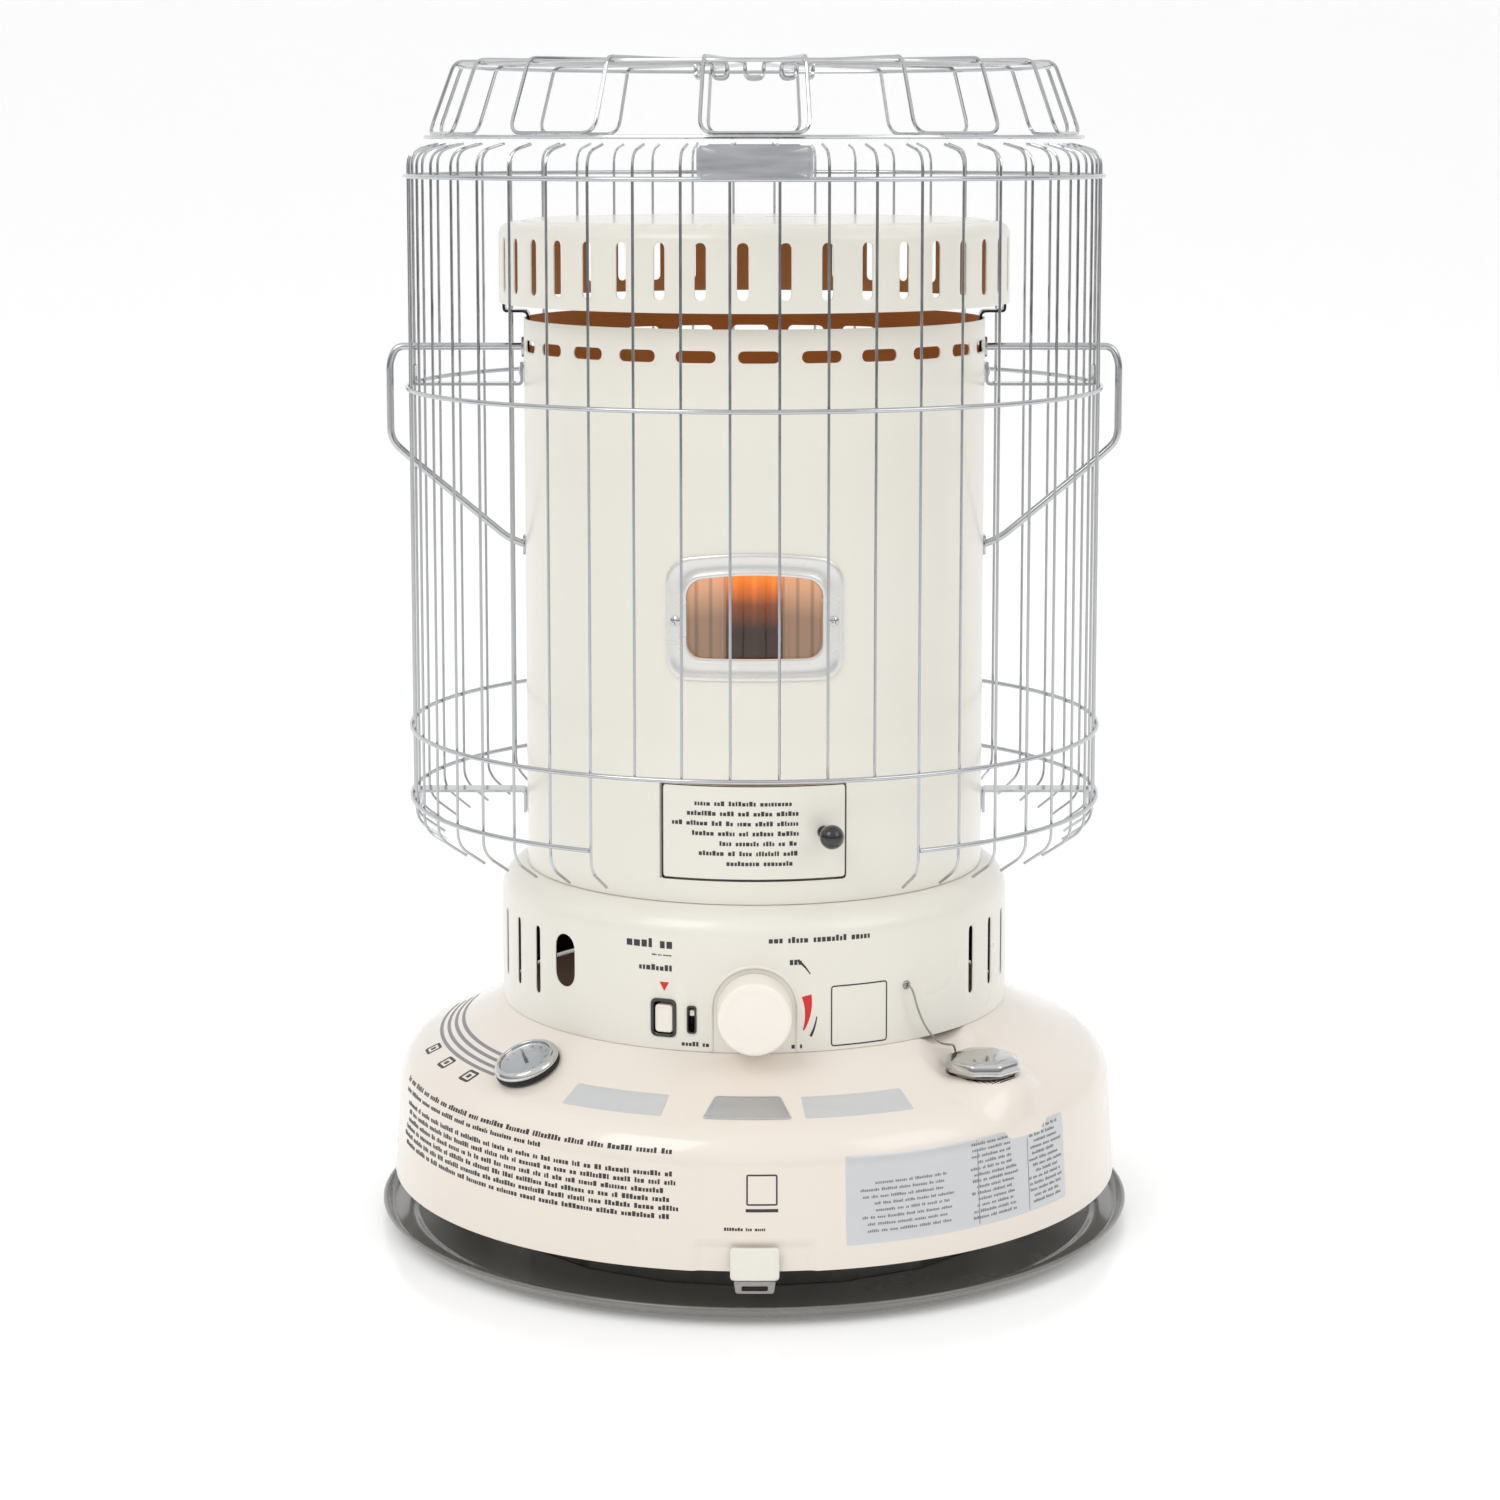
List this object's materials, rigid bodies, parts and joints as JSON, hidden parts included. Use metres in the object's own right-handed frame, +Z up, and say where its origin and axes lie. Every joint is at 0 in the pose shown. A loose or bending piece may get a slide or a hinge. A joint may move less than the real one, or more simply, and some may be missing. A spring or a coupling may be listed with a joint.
{
  "type": "round kerosene heater",
  "caption": "Round upright kerosene heater: cream enamel tank and chamber, glowing window, lighting door, slotted top and a chrome wire guard with side handles.",
  "frame": {"origin": "centre of the drip tray's underside, on the floor", "axes": "+Z up, the window and wick knob face -Y, the fuel cap is at +X"},
  "size_m": [0.456, 0.456, 0.696],
  "materials": {
    "cream_enamel": "smooth gloss cream enamel on pressed steel",
    "tray_enamel": "dark gloss enamel",
    "bright_chrome": "bright chrome plate",
    "plain_steel": "plain pressed steel, lightly dulled",
    "heat_tinted_steel": "steel tinted brown by heat",
    "glowing_steel": "perforated steel glowing orange behind the window",
    "black_enamel": "gloss black",
    "black_rubber": "matt black",
    "silver_plate": "satin silver",
    "plain_brass": "satin brass",
    "wick_weave": "woven glass-fibre wick, off-white",
    "heat_glass": "warm clear heat-resistant glass",
    "clear_glass": "clear domed glass",
    "cream_plastic": "smooth cream plastic",
    "float_cork": "cork"
  },
  "bodies": {
    "heater": {"drip_tray": "tray_enamel", "tank_bottom": "plain_steel", "tank_top": "cream_enamel", "draft_tube": "plain_steel", "wick_guide": "plain_steel", "filler_neck": "plain_brass", "tether_collar": "plain_steel", "cap_tether": "plain_steel", "gauge_gasket": "black_rubber", "gauge_bezel": "bright_chrome", "gauge_dial": "silver_plate", "gauge_glass": "clear_glass", "gauge_stem": "plain_steel", "tray_catch": "cream_enamel", "tray_clip": "plain_steel", "cabinet": "cream_enamel", "switch_bracket": "plain_steel", "indicator_flag": "cream_plastic", "shaft_bracket": "plain_steel", "tip_bracket": "plain_steel", "burner_seat": "plain_steel", "burner_outer": "heat_tinted_steel", "burner_inner": "heat_tinted_steel", "flame_spreader": "heat_tinted_steel", "radiant_tube": "glowing_steel", "chamber": "cream_enamel", "window_frame": "silver_plate", "window_pane": "heat_glass", "window_screw_left": "bright_chrome", "window_screw_right": "bright_chrome", "top_hat": "cream_enamel", "hat_bracket_left": "black_enamel", "hat_bracket_right": "black_enamel", "guard_front": "bright_chrome", "guard_rear": "bright_chrome", "crown_grille": "bright_chrome", "badge_plate": "silver_plate", "rear_plate": "silver_plate", "arm_upper_left": "bright_chrome", "arm_upper_right": "bright_chrome", "arm_lower_left": "bright_chrome", "arm_lower_right": "bright_chrome", "arm_screw_left": "bright_chrome", "arm_screw_right": "bright_chrome", "handle_left": "bright_chrome", "handle_right": "bright_chrome"},
    "lighting_door": {"lighting_door": "cream_enamel", "door_pin": "plain_steel", "door_knob": "black_enamel"},
    "wick_knob": {"wick_knob": "cream_plastic", "wick_shaft": "plain_steel", "wick_pinion": "plain_brass"},
    "wick": {"wick": "wick_weave", "wick_sleeve": "plain_steel"},
    "shutoff_button": {"shutoff_button": "cream_plastic"},
    "tip_weight": {"tip_weight": "plain_brass"},
    "fuel_cap": {"fuel_cap": "bright_chrome"},
    "gauge_needle": {"gauge_needle": "black_enamel"},
    "float": {"float_arm": "plain_brass", "float": "float_cork"}
  },
  "joints": [
    {"name": "door_hinge", "type": "hinge", "parent": "heater", "child": "lighting_door", "pos_m": [-0.05355, -0.12599, 0.2587], "axis": [0, 0, -1], "range_deg": [0, 95]},
    {"name": "wick_knob_turn", "type": "hinge", "parent": "heater", "child": "wick_knob", "pos_m": [0, -0.155, 0.16031], "axis": [0, 1, 0], "range_deg": [0, 110]},
    {"name": "wick_lift", "type": "slide", "parent": "heater", "child": "wick", "axis": [0, 0, 1], "range_m": [0, 0.0115]},
    {"name": "shutoff_press", "type": "slide", "parent": "heater", "child": "shutoff_button", "axis": [0.3387, 0.9409, 0], "range_m": [0, 0.004], "stiffness_N_per_m": 250},
    {"name": "tip_swing", "type": "hinge", "parent": "heater", "child": "tip_weight", "pos_m": [-0.09063, 0.04226, 0.20111], "axis": [-0.9063, 0.4226, 0], "range_deg": [-12, 12]},
    {"name": "cap_turn", "type": "hinge", "parent": "heater", "child": "fuel_cap", "pos_m": [0.13172, -0.12632, 0.1225], "axis": [0, 0, 1], "range_deg": [0, 270]},
    {"name": "float_lift", "type": "hinge", "parent": "heater", "child": "float", "pos_m": [-0.12027, -0.11453, 0.08791], "axis": [0.6896, -0.7242, 0], "range_deg": [0, 50]},
    {"name": "needle_turn", "type": "hinge", "parent": "heater", "child": "gauge_needle", "pos_m": [-0.13187, -0.12558, 0.12391], "axis": [-0.2946, -0.2805, 0.9135], "range_deg": [-80, 0]}
  ],
  "couplings": [
    {"joint": "wick_knob_turn", "follows": "wick_lift", "rad_per_m": 166.67},
    {"joint": "needle_turn", "follows": "float_lift", "ratio": -1.6}
  ]
}
